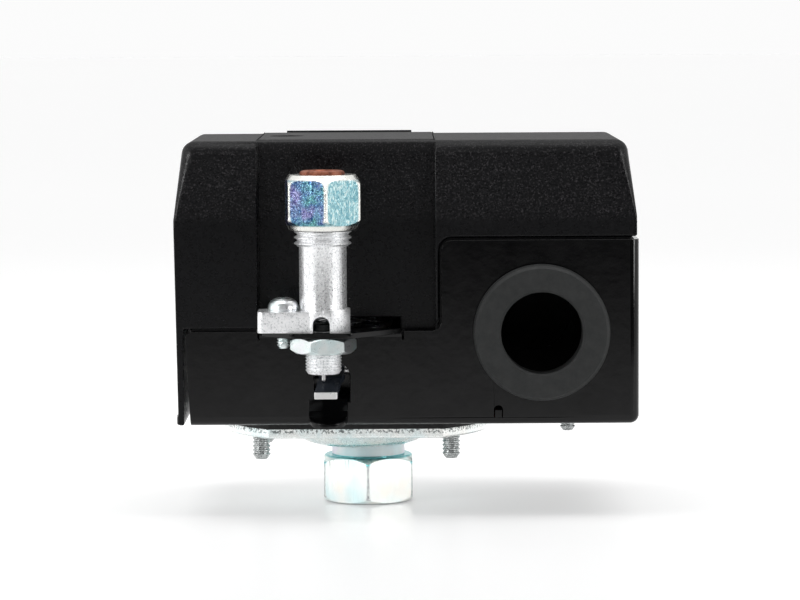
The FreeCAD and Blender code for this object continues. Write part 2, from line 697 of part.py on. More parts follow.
def range_spring_seat():
    seat = turned([(0, 52.6), (9.6, 52.6), (9.6, 54.0), (5.0, 54.0), (5.0, 55.0), (0, 55.0)], RANGE_X, 0)
    return seat.fuse(rod(6.2, 50.6, 52.7, RANGE_X, 0)).removeSplitter()


def adjusting_screw(shank_r, low, head_z, head_h, flats, x, y, pitch):
    shank = threaded(shank_r, low, head_z, pitch, shank_r * 0.12, x, y, bevel=0.4)
    head = hexagon(flats, head_z, head_z + head_h, x, y, low=False)
    return join([shank, head])


def range_screw():
    return adjusting_screw(4.0, 55.0, 72.0, 5.3, 13.0, RANGE_X, 0, 1.25)


def range_nut():
    z0 = FRAME_Z + FRAME_T
    return hexagon(13.0, z0, z0 + 6.0, RANGE_X, 0, turn=10).cut(rod(4.0 + GAP, 50, 80, RANGE_X, 0))


def differential_spring():
    return coil(RANGE_X, TRIM_Y, LEVER_Z + LEVER_T + 0.05, 51.0, 3.4, 0.55, 7)


def differential_seat():
    return turned([(0, 51.0), (4.6, 51.0), (4.6, 52.0), (2.2, 52.6), (0, 52.6)], RANGE_X, TRIM_Y)


def differential_screw():
    return adjusting_screw(2.5, 52.6, 66.0, 3.4, 8.0, RANGE_X, TRIM_Y, 0.8)


def differential_nut():
    z0 = FRAME_Z + FRAME_T
    nut = hexagon(8.0, z0, z0 + 3.8, RANGE_X, TRIM_Y, turn=20)
    return nut.cut(rod(2.5 + GAP, 50, 80, RANGE_X, TRIM_Y))


# ---------------------------------------------------------------- contacts

def contact_block():
    low = FRAME_Z + FRAME_T
    seat = PLATE_TOP - 1.2
    x0, x1 = BLOCK_X - 17, BLOCK_X + 17
    body = box(x0, x1, -6.0, 22.0, low, seat)
    walls = [box(x0, x1, -6.0, -4.4, low, seat + 6.5), box(x0, x1, 20.4, 22.0, low, seat + 6.5)]
    barrier = box(x0, x1, 7.2, 8.8, low, seat + 6.5)
    ears = [box(x - 4, x + 4, -12.8, -5.9, low, low + 3.5) for x in (19.0, 43.0)]
    block = join([body, barrier] + walls + ears)
    block = block.cut(box(BLOCK_X - 11.5, BLOCK_X + 11.5, -3.0, 19.0, low + 2.5, 90))
    block = block.cut(box(BLOCK_X - 2.6, BLOCK_X + 2.6, 11.4, 16.6, low - 1, low + 4))
    for x in (19.0, 43.0):
        block = block.cut(rod(1.6, low - 1, low + 5, x, -9.0))
    for x, y in terminal_places():
        block = block.cut(rod(1.5, 60, 80, x, y))
    return block


def terminal_places():
    return [(BLOCK_X + side * 14.3, y) for side in (-1, 1) for y in POLES_Y]


def block_screws():
    low = FRAME_Z + FRAME_T
    return [pan_screw(3.0, 2.0, 1.5, low + 3.5, low - 3.5, x, -9.0, pitch=0.7) for x in (19.0, 43.0)]


def terminal_plates():
    plates = []
    for side in (-1, 1):
        for y in POLES_Y:
            x0, x1 = sorted((BLOCK_X + side * 16.8, BLOCK_X + side * 6.0))
            plate = box(x0, x1, y - 3.4, y + 3.4, PLATE_TOP - 1.2, PLATE_TOP)
            plates.append(plate.cut(rod(1.5, 60, 80, BLOCK_X + side * 14.3, y)))
    return plates


def terminal_screws():
    return [pan_screw(2.9, 2.0, 1.5, PLATE_TOP, 64.5, x, y, pitch=0.7) for x, y in terminal_places()]


def fixed_contacts():
    return [rod(1.9, PLATE_TOP, PLATE_TOP + CONTACT_T, BLOCK_X + side * CONTACT_X, y)
            for side in (-1, 1) for y in POLES_Y]


def contact_carrier():
    lever_top = LEVER_Z + LEVER_T
    foot = box(BLOCK_X - 2.0, BLOCK_X + 2.0, 13.4, 14.6, lever_top + 0.1, lever_top + 1.1)
    stem = box(BLOCK_X - 2.0, BLOCK_X + 2.0, 12.0, 16.0, lever_top + 1.0, 64.5)
    beam = box(BLOCK_X - 2.0, BLOCK_X + 2.0, -1.0, 17.0, 64.0, 67.0)
    # the beam passes under the barrier between the poles
    pads = [box(BLOCK_X - 2.0, BLOCK_X + 2.0, y - 2.6, y + 2.6, 66.5, BAR_Z) for y in POLES_Y]
    posts = []
    for y in POLES_Y:
        posts.append(rod(0.9, BAR_Z - 1, 79.0, BLOCK_X, y))
        posts.append(rod(2.3, 78.2, 79.2, BLOCK_X, y))
    return join([foot, stem, beam] + pads + posts)


def moving_contacts():
    bars = []
    for y in POLES_Y:
        bar = box(BLOCK_X - 10.0, BLOCK_X + 10.0, y - 2.4, y + 2.4, BAR_Z, BAR_Z + 0.9)
        bar = bar.cut(rod(0.9, 60, 90, BLOCK_X, y))
        tips = [rod(1.9, BAR_Z - CONTACT_T, BAR_Z, BLOCK_X + side * CONTACT_X, y) for side in (-1, 1)]
        bars.append(join([bar] + tips))
    return bars


def contact_springs():
    return [coil(BLOCK_X, y, BAR_Z + 0.9, 78.2, 1.5, 0.25, 4) for y in POLES_Y]


# ---------------------------------------------------------------- auto/off lever

def auto_off_bracket():
    y, z = SWITCH_PIVOT
    plate = box(-17.9, 8.5, BASE_Y, BASE_Y + 1.2, 39.4, 42.0)
    ears = []
    for x in (-17.9, 7.3):
        ears.append(prism_x([(BASE_Y, 33.0), (y + 1.0, 35.6), (y + 3.6, 38.0), (y + 3.6, 42.0),
                             (y + 1.0, 44.6), (BASE_Y, 44.6)], x, x + 1.2))
    bracket = join([plate] + ears)
    return bracket.cut(rod_x(2.0, -30, 20, y, z))


def auto_off_pin():
    y, z = SWITCH_PIVOT
    head = rod_x(3.2, -19.3, -17.9, y, z)
    return join([rod_x(2.0, -17.9, 9.3, y, z), head])


def auto_off_lever():
    """Flat paddle in the rear recess of the cover, on a hub between the bracket's ears."""
    y, z = SWITCH_PIVOT
    top = 92.4
    hub = rod_x(3.6, -16.5, 7.1, y, z)
    neck = prism_x([(y - 3.4, z + 1.0), (y + 3.4, z + 1.0), (y + 1.6, 46.5), (30.6, 55.0), (27.5, 55.0),
                    (27.5, 50.0), (31.6, 45.6)], -14.0, 4.6)
    blade = box(-20.8, 11.4, 27.5, 30.1, 53.0, top)
    blade = blade.makeFillet(4.0, edges_along(blade, 1, lambda c: c.z < 60))
    blade = blade.makeFillet(0.8, edges_along(blade, 0, lambda c: c.y > 30 and c.z > 80))
    grip = prism_x([(29.8, 88.5), (33.4, 87.2), (34.4, 87.9), (34.4, 89.6), (33.6, 90.4), (29.8, 92.0)],
                   -19.0, 9.6)
    nose = prism_x([(y - 3.0, z - 2.0), (y - 0.5, z - 3.4), (31.6, 31.4), (29.6, 31.8)], -7.6, -0.6)
    lever = join([hub, neck, blade, grip, nose])
    return lever.cut(rod_x(2.0 + GAP, -30, 20, y, z))


# ---------------------------------------------------------------- output

save("port_fitting", port_fitting())
save("flange_plate", flange_plate())
save("diaphragm", diaphragm())
save("flange_screws", flange_screws())
save("ground_screws", ground_screws())
save("base_housing", base_housing())
save("cover", cover())
save("cover_screw", cover_screw())
save("cover_post", cover_post())
save("front_grommet", grommet(-1))
save("rear_grommet", grommet(1))
save("unloader_body", unloader_body())
save("compression_nut", compression_nut())
save("compression_sleeve", compression_sleeve())
save("unloader_locknut", unloader_locknut())
save("unloader_foot_screw", unloader_foot_screw())
save("valve_pin", valve_pin())
save("valve_seal", valve_seal())
save("valve_spring", valve_spring())
save("unloader_lever", unloader_lever())
save("unloader_lever_pin", unloader_lever_pin())
save("unloader_lever_bracket", unloader_lever_bracket())
save("plunger", plunger())
save("main_lever", main_lever())
save("lever_pivot_pin", lever_pivot_pin())
save("pivot_ears", pivot_ears())
save("switch_frame", switch_frame())
save("frame_rivets", frame_rivets())
save("range_spring", range_spring())
save("range_spring_seat", range_spring_seat())
save("range_screw", range_screw())
save("range_nut", range_nut())
save("differential_spring", differential_spring())
save("differential_seat", differential_seat())
save("differential_screw", differential_screw())
save("differential_nut", differential_nut())
save("contact_block", contact_block())
save("block_screws", block_screws())
save("terminal_plates", terminal_plates())
save("terminal_screws", terminal_screws())
save("fixed_contacts", fixed_contacts())
save("contact_carrier", contact_carrier())
save("moving_contacts", moving_contacts())
save("contact_springs", contact_springs())
save("auto_off_bracket", auto_off_bracket())
save("auto_off_pin", auto_off_pin())
save("auto_off_lever", auto_off_lever())
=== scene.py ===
import json
import math

import bpy
from mathutils import Matrix, Vector


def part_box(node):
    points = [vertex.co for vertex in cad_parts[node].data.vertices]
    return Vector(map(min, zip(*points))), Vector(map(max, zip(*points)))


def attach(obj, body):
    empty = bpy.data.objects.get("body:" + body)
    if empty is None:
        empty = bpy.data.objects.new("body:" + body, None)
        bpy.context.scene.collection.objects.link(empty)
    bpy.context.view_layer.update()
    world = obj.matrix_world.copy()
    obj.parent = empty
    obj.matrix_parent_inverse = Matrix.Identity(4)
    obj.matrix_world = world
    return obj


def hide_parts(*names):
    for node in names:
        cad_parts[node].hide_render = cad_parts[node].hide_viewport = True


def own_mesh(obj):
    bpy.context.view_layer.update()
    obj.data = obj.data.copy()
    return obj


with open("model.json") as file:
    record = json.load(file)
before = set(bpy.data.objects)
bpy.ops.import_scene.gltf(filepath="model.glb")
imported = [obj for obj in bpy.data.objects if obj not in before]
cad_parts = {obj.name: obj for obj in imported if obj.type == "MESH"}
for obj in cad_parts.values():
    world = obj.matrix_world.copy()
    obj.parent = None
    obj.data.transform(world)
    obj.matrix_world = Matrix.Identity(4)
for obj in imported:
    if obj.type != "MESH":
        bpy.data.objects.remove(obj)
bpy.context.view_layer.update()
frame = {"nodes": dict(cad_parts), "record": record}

MM = 0.001
scene = bpy.context.scene

# heights and places where a finish or painted light changes, each as (start, end) of the change
COVER_LEAN = (71.5 * MM, 74.5 * MM)
COVER_TOP = (88.5 * MM, 91.2 * MM)
VALVE_FOOT = (50.0 * MM, 51.5 * MM)
LEVER_BARE_EDGE = (-43.85 * MM, -43.75 * MM)
# x where the nut's colour turns to the paler teal painted on its right side, a painted reflection of the
# light there
NUT_PAINTED_PALE_SIDE = (-10.0 * MM, -9.2 * MM)

# the two hexagons that wear white or grey at their corners
NUT_FLATS = 17.3 * MM
NUT_WORN_CORNER = 0.5 * MM
NUT_WORN_END = 1.15 * MM
PORT_FLATS = 22.2 * MM
PORT_HEX_TOP = 11.8 * MM
PORT_WORN = 0.35 * MM
PORT_NOTCH = (PORT_HEX_TOP - 2.2 * MM, PORT_HEX_TOP - 1.6 * MM)
PORT_NECK = (PORT_HEX_TOP + 0.1 * MM, PORT_HEX_TOP + 0.3 * MM)
FLANGE_WORN_DEPTH = (1.3 * MM, 0.8 * MM)
WEAR_POWER_ACROSS = 3.0
WEAR_POWER_UPRIGHT = 6.0
WEAR_BLEND = (0.8, 1.2)


# ---------------------------------------------------------------- shader helpers

class Shader:
    """A principled material, with short calls for the nodes that feed it."""

    def __init__(self, name, **values):
        self.material = bpy.data.materials.new(name)
        self.material.use_nodes = True
        self.tree = self.material.node_tree
        self.bsdf = self.tree.nodes["Principled BSDF"]
        self.coords = self.tree.nodes.new("ShaderNodeTexCoord").outputs["Object"]
        for key, value in values.items():
            self.bsdf.inputs[key.replace("_", " ")].default_value = value

    def node(self, kind, **settings):
        made = self.tree.nodes.new("ShaderNode" + kind)
        for key, value in settings.items():
            setattr(made, key, value)
        return made

    def link(self, source, target):
        self.tree.links.new(source, target)

    def stretched(self, scale):
        """Object coordinates, stretched by a factor along each axis."""
        mapping = self.node("Mapping")
        mapping.inputs["Scale"].default_value = scale
        self.link(self.coords, mapping.inputs["Vector"])
        return mapping.outputs["Vector"]

    def noise(self, scale, detail=3.0, roughness=0.55, stretch=None, distortion=0.0):
        noise = self.node("TexNoise")
        noise.inputs["Scale"].default_value = scale
        noise.inputs["Detail"].default_value = detail
        noise.inputs["Roughness"].default_value = roughness
        noise.inputs["Distortion"].default_value = distortion
        self.link(self.stretched(stretch) if stretch else self.coords, noise.inputs["Vector"])
        return noise.outputs["Fac"]

    def cells(self, scale):
        voronoi = self.node("TexVoronoi", feature="F1")
        voronoi.inputs["Scale"].default_value = scale
        self.link(self.coords, voronoi.inputs["Vector"])
        return voronoi.outputs["Distance"]

    def ramp(self, source, stops):
        """Colour ramp; stops are (position, colour) with colours as three numbers or one."""
        ramp = self.node("ValToRGB")
        elements = ramp.color_ramp.elements
        while len(elements) < len(stops):
            elements.new(0.5)
        for element, (place, colour) in zip(elements, stops):
            element.position = place
            if isinstance(colour, (int, float)):
                colour = (colour, colour, colour)
            element.color = (*colour, 1.0)
        self.link(source, ramp.inputs["Fac"])
        return ramp.outputs["Color"]

    def spread(self, source, low, high, from_low=0.3, from_high=0.7):
        """A texture value spread over a range."""
        spread = self.node("MapRange")
        spread.inputs["From Min"].default_value = from_low
        spread.inputs["From Max"].default_value = from_high
        spread.inputs["To Min"].default_value = low
        spread.inputs["To Max"].default_value = high
        self.link(source, spread.inputs["Value"])
        return spread.outputs["Result"]

    def math(self, operation, first, second):
        node = self.node("Math", operation=operation)
        for place, value in enumerate((first, second)):
            if isinstance(value, (int, float)):
                node.inputs[place].default_value = value
            else:
                self.link(value, node.inputs[place])
        return node.outputs["Value"]

    def mix(self, share, first, second):
        node = self.node("Mix", data_type="RGBA", blend_type="MIX")
        share_socket, first_socket, second_socket = node.inputs[0], node.inputs[6], node.inputs[7]
        for socket, value in ((share_socket, share), (first_socket, first), (second_socket, second)):
            if isinstance(value, (int, float)):
                socket.default_value = value
            elif isinstance(value, tuple):
                socket.default_value = (*value, 1.0)
            else:
                self.link(value, socket)
        return node.outputs[2]

    def along(self, axis):
        """Position along an axis, in metres."""
        split = self.node("SeparateXYZ")
        self.link(self.coords, split.inputs["Vector"])
        return split.outputs[axis]

    def bump(self, layers):
        """Bumps on top of each other, from (height source, strength, distance in metres)."""
        below = None
        for source, strength, distance in layers:
            bump = self.node("Bump")
            bump.inputs["Distance"].default_value = distance
            if isinstance(strength, (int, float)):
                bump.inputs["Strength"].default_value = strength
            else:
                self.link(strength, bump.inputs["Strength"])
            self.link(source, bump.inputs["Height"])
            if below:
                self.link(below, bump.inputs["Normal"])
            below = bump.outputs["Normal"]
        self.link(below, self.bsdf.inputs["Normal"])

    def feed(self, name, source):
        self.link(source, self.bsdf.inputs[name])


# ---------------------------------------------------------------- materials

def gloss_black_paint():
    s = Shader("gloss_black_paint", IOR=1.35)
    paint_stops = [(0.35, (0.0014, 0.0014, 0.0016)), (0.7, (0.0024, 0.0024, 0.0026))]
    s.feed("Base Color", s.ramp(s.noise(60, 4), paint_stops))
    s.feed("Roughness", s.spread(s.noise(220, 5), 0.12, 0.2))
    s.bump([(s.noise(420, 2), 0.08, 0.0003), (s.noise(2600, 2), 0.03, 0.00006)])
    return s.material


def black_cover_plastic():
    """Fine-grained plastic whose grain is coarser on the walls that lean inwards, with painted glints:
    light specks in its colour that stand in for the grain's sparkling highlights, most of them on those
    walls.
    """
    s = Shader("black_cover_plastic", IOR=1.4, Specular_IOR_Level=0.3)
    leaning = s.spread(s.along("Z"), 0.0, 1.0, *COVER_LEAN)
    # painted highlight: light specks mixed into the colour stand in for glints of the grain, mostly on the
    # leaning walls
    painted_glint = s.spread(s.noise(2300, 2, 0.8), 0.0, 1.0, 0.54, 0.68)
    plain = s.ramp(s.noise(1800, 4), [(0.35, (0.0018, 0.0018, 0.0022)), (0.75, (0.0042, 0.0042, 0.005))])
    share = s.math("MULTIPLY", painted_glint, s.spread(leaning, 0.06, 0.8, 0.0, 1.0))
    s.feed("Base Color", s.mix(share, plain, (0.05, 0.047, 0.05)))
    top = s.spread(s.along("Z"), 0.0, 0.3, *COVER_TOP)
    s.feed("Roughness", s.math("ADD", s.spread(s.noise(900, 5), 0.24, 0.34), top))
    coarse = s.spread(leaning, 0.15, 0.8, 0.0, 1.0)
    s.bump([(s.cells(1900), coarse, 0.00004), (s.noise(4200, 3), 0.3, 0.00005)])
    return s.material


def black_rubber():
    s = Shader("black_rubber", IOR=1.45, Specular_IOR_Level=0.3)
    rubber_stops = [(0.3, (0.018, 0.019, 0.019)), (0.7, (0.026, 0.027, 0.027))]
    s.feed("Base Color", s.ramp(s.noise(500, 6), rubber_stops))
    s.feed("Roughness", s.spread(s.noise(1500, 4), 0.5, 0.68))
    s.bump([(s.noise(3800, 3), 0.25, 0.0001)])
    return s.material


def diaphragm_rubber():
    s = Shader("diaphragm_rubber", IOR=1.45)
    rubber_stops = [(0.3, (0.006, 0.006, 0.006)), (0.7, (0.012, 0.012, 0.012))]
    s.feed("Base Color", s.ramp(s.noise(700, 5), rubber_stops))
    s.feed("Roughness", s.spread(s.noise(1200, 4), 0.55, 0.75))
    s.bump([(s.noise(3000, 4), 0.3, 0.00015)])
    return s.material


def within_flats(s, node, flats, bottom, top, worn_corner, worn_end):
    """1 inside each flat of an upright hexagon, and 0 on its worn corners and ends."""
    low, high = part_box(node)
    from_x = s.math("SUBTRACT", s.along("X"), (low[0] + high[0]) / 2)
    from_y = s.math("SUBTRACT", s.along("Y"), (low[1] + high[1]) / 2)
    squared = s.math("ADD", s.math("MULTIPLY", from_x, from_x), s.math("MULTIPLY", from_y, from_y))
    reach = flats / 2 * math.tan(math.radians(30)) - worn_corner
    across = s.math("DIVIDE", s.math("SUBTRACT", squared, (flats / 2) ** 2), reach ** 2)
    from_middle = s.math("SUBTRACT", s.along("Z"), (bottom + top) / 2)
    upright = s.math("DIVIDE", from_middle, (top - bottom) / 2 - worn_end)
    across = s.math("POWER", s.math("MAXIMUM", across, 0.0), WEAR_POWER_ACROSS)
    upright = s.math("POWER", s.math("ABSOLUTE", upright, 0.0), WEAR_POWER_UPRIGHT)
    return s.spread(s.math("ADD", across, upright), 1.0, 0.0, *WEAR_BLEND)


def zinc_plate():
    """Bright zinc with a thin passivation film between pale teal and straw."""
    s = Shader("zinc_plate", Metallic=1.0)
    film_stops = [(0.38, (0.78, 0.93, 0.94)), (0.5, (0.90, 0.96, 0.95)),
                  (0.6, (0.92, 0.93, 0.96)), (0.7, (0.95, 0.94, 0.88))]
    film = s.ramp(s.noise(120, 3), film_stops)
    grain = s.noise(2300, 3, 0.75, distortion=1.2)
    s.feed("Base Color", s.mix(s.spread(grain, 0.0, 0.14, 0.45, 0.66), film, (0.36, 0.45, 0.48)))
    s.feed("Roughness", s.spread(s.noise(1400, 5), 0.26, 0.38))
    s.bump([(grain, 0.25, 0.0001)])
    return s.material


def screw_zinc():
    """Duller grey zinc of the small screws and studs."""
    s = Shader("screw_zinc", Metallic=1.0)
    grain = s.noise(1900, 4, 0.7)
    grain_stops = [(0.4, (0.3, 0.31, 0.31)), (0.55, (0.62, 0.64, 0.64)), (0.7, (0.85, 0.87, 0.86))]
    s.feed("Base Color", s.ramp(grain, grain_stops))
    s.feed("Roughness", s.spread(s.noise(1200, 5), 0.2, 0.32))
    s.bump([(grain, 0.4, 0.0001)])
    return s.material


def nut_zinc():
    """Deep blue and teal film, scratched with fine curls, on a nut whose worn corners are white; its
    right-hand faces are painted paler teal, a painted reflection of the light on that side.
    """
    s = Shader("nut_zinc", Metallic=1.0)
    low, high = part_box("compression_nut")
    hue = s.noise(190, 2)
    dark = s.ramp(hue, [(0.38, (0.01, 0.11, 0.12)), (0.5, (0.015, 0.06, 0.2)), (0.62, (0.05, 0.05, 0.2))])
    light = s.ramp(hue, [(0.38, (0.26, 0.58, 0.58)), (0.5, (0.28, 0.48, 0.66)), (0.62, (0.40, 0.41, 0.66))])
    curls = s.noise(1150, 3, 0.75, distortion=2.2)
    deep = s.mix(s.spread(curls, 0.0, 1.0, 0.42, 0.6), dark, light)
    pale_painted_reflection_stops = [(0.4, (0.14, 0.34, 0.40)), (0.52, (0.36, 0.58, 0.62)), (0.64, (0.68, 0.80, 0.78))]
    pale_painted_reflection = s.ramp(s.noise(1000, 3, 0.7, (1.4, 1.4, 0.5), 1.6), pale_painted_reflection_stops)
    # painted reflection: the nut's right-hand faces get the paler teal, standing in for the light they
    # reflect
    film = s.mix(s.spread(s.along("X"), 0.0, 1.0, *NUT_PAINTED_PALE_SIDE), deep, pale_painted_reflection)
    flat = within_flats(s, "compression_nut", NUT_FLATS, low[2], high[2], NUT_WORN_CORNER, NUT_WORN_END)
    s.feed("Base Color", s.mix(flat, (0.84, 0.84, 0.80), film))
    s.feed("Roughness", s.spread(s.noise(1400, 5), 0.2, 0.32))
    s.bump([(curls, 0.3, 0.00012)])
    return s.material


def port_zinc():
    """Almost white flats with grey corners, and teal in the notches above them."""
    s = Shader("port_zinc", Metallic=1.0)
    hue = s.noise(95, 2)
    flats = s.ramp(hue, [(0.36, (0.78, 0.95, 0.96)), (0.5, (0.93, 0.98, 0.96)), (0.62, (0.98, 0.96, 0.90))])
    neck = s.ramp(hue, [(0.36, (0.80, 0.94, 0.96)), (0.5, (0.92, 0.96, 0.97)), (0.62, (0.92, 0.90, 0.97))])
    corner = s.ramp(s.noise(2000, 3), [(0.4, (0.34, 0.36, 0.37)), (0.6, (0.66, 0.68, 0.68))])
    notch = s.mix(s.spread(s.along("Z"), 0.0, 1.0, *PORT_NOTCH), corner, (0.16, 0.5, 0.52))
    flat = within_flats(s, "port_fitting", PORT_FLATS, 0.0, PORT_HEX_TOP, PORT_WORN, PORT_WORN)
    above = s.spread(s.along("Z"), 0.0, 1.0, *PORT_NECK)
    s.feed("Base Color", s.mix(above, s.mix(flat, notch, flats), neck))
    brushing = s.spread(s.noise(700, 5, 0.6, (2.0, 2.0, 0.2)), 0.15, 0.27)
    s.feed("Roughness", s.math("ADD", brushing, s.spread(above, 0.0, 0.38, 0.0, 1.0)))
    s.bump([(s.noise(900, 4, 0.6, (3.0, 3.0, 0.3)), 0.12, 0.00008)])
    return s.material


def flange_zinc():
    """Pale zinc, worn to dark specks along the upper edge of its rim."""
    s = Shader("flange_zinc", Metallic=1.0)
    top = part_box("flange_plate")[1][2]
    film_stops = [(0.38, (0.80, 0.93, 0.94)), (0.52, (0.93, 0.97, 0.96)), (0.66, (0.95, 0.95, 0.92))]
    film = s.ramp(s.noise(120, 3), film_stops)
    specks = s.spread(s.noise(1500, 3, 0.7), 0.0, 1.0, 0.5, 0.56)
    edge = s.spread(s.along("Z"), 0.0, 0.85, *(top - depth for depth in FLANGE_WORN_DEPTH))
    s.feed("Base Color", s.mix(s.math("MULTIPLY", specks, edge), film, (0.10, 0.12, 0.12)))
    s.feed("Roughness", s.spread(s.noise(1400, 5), 0.2, 0.34))
    s.bump([(s.noise(1900, 4, 0.7), 0.14, 0.0001)])
    return s.material


def cast_zinc():
    s = Shader("cast_zinc", Metallic=0.8)
    skin_stops = [(0.38, (0.46, 0.47, 0.48)), (0.48, (0.93, 0.94, 0.95)), (0.6, (0.98, 0.98, 0.99))]
    s.feed("Base Color", s.ramp(s.noise(2300, 5, 0.8), skin_stops))
    foot = s.spread(s.along("Z"), 0.22, 0.0, *VALVE_FOOT)
    s.feed("Roughness", s.math("ADD", s.spread(s.noise(1600, 6), 0.24, 0.36), foot))
    s.bump([(s.noise(2300, 5, 0.7), 0.3, 0.00012), (s.noise(260, 3), 0.12, 0.0003)])
    return s.material


def brushed(name, low, high, rough, scale=(1.0, 1.0, 1.0)):
    s = Shader(name, Metallic=1.0)
    s.feed("Base Color", s.ramp(s.noise(500, 5, 0.6, scale), [(0.3, low), (0.7, high)]))
    s.feed("Roughness", s.spread(s.noise(900, 5, 0.6, scale), rough - 0.08, rough + 0.08))
    s.bump([(s.noise(2200, 4, 0.6, scale), 0.2, 0.00008)])
    return s.material


def copper_sleeve():
    s = Shader("copper_sleeve", Metallic=0.75)
    copper_stops = [(0.35, (0.12, 0.035, 0.02)), (0.55, (0.32, 0.11, 0.065)), (0.75, (0.34, 0.2, 0.16))]
    s.feed("Base Color", s.ramp(s.noise(500, 7, 0.65), copper_stops))
    s.feed("Roughness", s.spread(s.noise(1300, 5), 0.4, 0.62))
    s.bump([(s.noise(1800, 5), 0.4, 0.00012)])
    return s.material


def moulded(name, low, high, rough):
    s = Shader(name, IOR=1.5)
    s.feed("Base Color", s.ramp(s.noise(300, 5), [(0.3, low), (0.7, high)]))
    s.feed("Roughness", s.spread(s.noise(1100, 5), rough - 0.06, rough + 0.08))
    s.bump([(s.noise(3000, 3), 0.15, 0.0001)])
    return s.material


def painted_lever():
    """Blue-black lever whose sheared front edge is bare metal."""
    s = Shader("black_lever_steel", IOR=1.45)
    bare = s.spread(s.along("Y"), 1.0, 0.0, *LEVER_BARE_EDGE)
    paint_colour = s.ramp(s.noise(400, 6), [(0.3, (0.004, 0.006, 0.010)), (0.7, (0.010, 0.014, 0.022))])
    s.feed("Base Color", s.mix(bare, paint_colour, (0.86, 0.86, 0.85)))
    s.feed("Metallic", bare)
    s.feed("Roughness", s.spread(s.noise(900, 5), 0.25, 0.4))
    s.bump([(s.noise(1200, 4), 0.2, 0.0001)])
    return s.material


MATERIALS = {
    "gloss_black_paint": gloss_black_paint(),
    "black_cover_plastic": black_cover_plastic(),
    "black_rubber": black_rubber(),
    "diaphragm_rubber": diaphragm_rubber(),
    "zinc_plate": zinc_plate(),
    "screw_zinc": screw_zinc(),
    "nut_zinc": nut_zinc(),
    "port_zinc": port_zinc(),
    "flange_zinc": flange_zinc(),
    "cast_zinc": cast_zinc(),
    "spring_steel": brushed("spring_steel", (0.42, 0.42, 0.43), (0.58, 0.58, 0.59), 0.3),
    "plain_steel": brushed("plain_steel", (0.5, 0.5, 0.5), (0.68, 0.68, 0.69), 0.34, (1, 6, 1)),
    "copper_sleeve": copper_sleeve(),
    "brass": brushed("brass", (0.58, 0.42, 0.17), (0.76, 0.58, 0.28), 0.26),
    "silver_contact": brushed("silver_contact", (0.8, 0.8, 0.8), (0.9, 0.9, 0.9), 0.18),
    "dark_phenolic": moulded("dark_phenolic", (0.05, 0.03, 0.02), (0.08, 0.05, 0.035), 0.4),
    "red_carrier": moulded("red_carrier", (0.32, 0.03, 0.02), (0.45, 0.05, 0.03), 0.38),
    "black_lever_plastic": moulded(
        "black_lever_plastic", (0.008, 0.008, 0.009), (0.016, 0.016, 0.017), 0.4),
    "black_lever_steel": painted_lever(),
}

# finishes of their own for some parts; the main lever, bright plated steel, is painted gloss black as
# painted shade of the dark inside of the case, and the unloader lever bracket takes the housing's black
# paint
OWN_FINISHES_AND_PAINTED_SHADE = {
    "unloader_lever_bracket": "gloss_black_paint", "main_lever": "gloss_black_paint",
    "compression_nut": "nut_zinc", "port_fitting": "port_zinc", "flange_plate": "flange_zinc",
    "ground_screws": "screw_zinc", "flange_screws": "screw_zinc",
}
NODE_SLOTS = {part["node"]: part["material_slot"] for part in frame["record"]["subparts"]}
NODE_SLOTS.update(OWN_FINISHES_AND_PAINTED_SHADE)

WELD_DISTANCE = 0.004 * MM
EDGE_ANGLE = math.radians(28.0)
EDGE_SEGMENTS = 3
# bevels on these two vanish where their smallest triangles would clamp them
UNCLAMPED_NODES = ("base_housing", "cover")

# edge radii in millimetres
EDGE_RADII = {
    "base_housing": 0.13, "cover": 0.4, "compression_nut": 0.35, "port_fitting": 0.3,
    "unloader_locknut": 0.22, "unloader_body": 0.3, "unloader_lever": 0.2, "flange_plate": 0.2,
}


def soften(obj, width, clamp):
    """Small rounded edges on a CAD part, so that its edges catch light."""
    weld = obj.modifiers.new("weld", "WELD")
    weld.merge_threshold = WELD_DISTANCE
    bevel = obj.modifiers.new("edge_radius", "BEVEL")
    bevel.width = width
    bevel.segments = EDGE_SEGMENTS
    bevel.limit_method = "ANGLE"
    bevel.angle_limit = EDGE_ANGLE
    bevel.harden_normals = True
    bevel.use_clamp_overlap = clamp


def paint(obj, slot):
    obj.data.materials.clear()
    obj.data.materials.append(MATERIALS[slot])


for node_name, node_object in frame["nodes"].items():
    paint(node_object, NODE_SLOTS[node_name])

for node_name, radius in EDGE_RADII.items():
    soften(frame["nodes"][node_name], radius * MM, clamp=node_name not in UNCLAMPED_NODES)


# ---------------------------------------------------------------- springs copied onto the base

# millimetres that each spring's lower end rises at the plunger's limit. The highest point under it rises
# 0.99, 1.61 and 0.85: the differential spring's lift is 0.69 more than the lever needs.
SPRING_LIFTS = {"range_spring": 1.1, "differential_spring": 2.3, "valve_spring": 0.95}


def shortening_spring(node):
    """Copy of a spring, attached to the base body and shown in place of the hidden original."""
    source = frame["nodes"][node]
    coil = bpy.data.objects.new(node + "_coil", source.data.copy())
    coil.matrix_world = source.matrix_world
    scene.collection.objects.link(coil)
    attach(coil, "base")
    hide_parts(node)
    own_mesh(coil)


for spring_name, spring_lift in SPRING_LIFTS.items():
    shortening_spring(spring_name)


# ---------------------------------------------------------------- studio

# directions over which the white room's strength changes, as a share of a unit vector
FRONT_TO_BACK = (-0.8, -0.05)
LOW_TO_OVERHEAD = (0.3, 0.8)
LEFT_TO_RIGHT = (-0.6, 0.6)

# strengths of the white room, of its bright patch overhead, and of the floor's painted glow, painted light
# that lifts the floor's shadows
FRONT_GLOW = 0.02
BACK_GLOW = 0.97
TOP_LEFT = 0.12
TOP_RIGHT = 0.0
FLOOR_PAINTED_GLOW = 0.26

